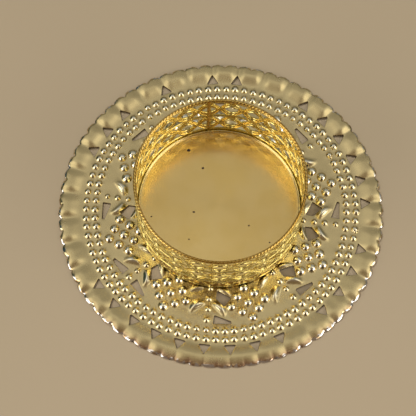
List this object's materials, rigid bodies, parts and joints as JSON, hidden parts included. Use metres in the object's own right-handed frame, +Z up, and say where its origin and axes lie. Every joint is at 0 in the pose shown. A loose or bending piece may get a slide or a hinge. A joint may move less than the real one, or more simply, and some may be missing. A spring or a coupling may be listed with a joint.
{
  "type": "tealight holder",
  "caption": "Round stamped metal plate with a scalloped, beaded and pierced border, carrying an openwork cup for a tealight.",
  "frame": {"origin": "on the table, under the middle of the plate", "axes": "+Z up through the cup, -Y towards the viewer of the picture, +X to the viewer's right"},
  "size_m": [0.083, 0.083, 0.0206],
  "materials": {
    "plate_gold": "pale champagne gold plating, polished on the relief",
    "pan_gold": "satin gold plating with small dark specks",
    "gallery_gold": "rich amber gold plating, bright on the strands",
    "rim_gold": "rich amber gold plating, darker in the notches",
    "solder": "dull solder"
  },
  "bodies": {
    "root": {"base_plate": "plate_gold", "cup_pan": "pan_gold", "gallery_wall": "gallery_gold", "gallery_seam": "solder", "rim_rope": "rim_gold", "solder_pad_1": "solder", "solder_pad_2": "solder", "solder_pad_3": "solder", "solder_pad_4": "solder"}
  },
  "joints": []
}
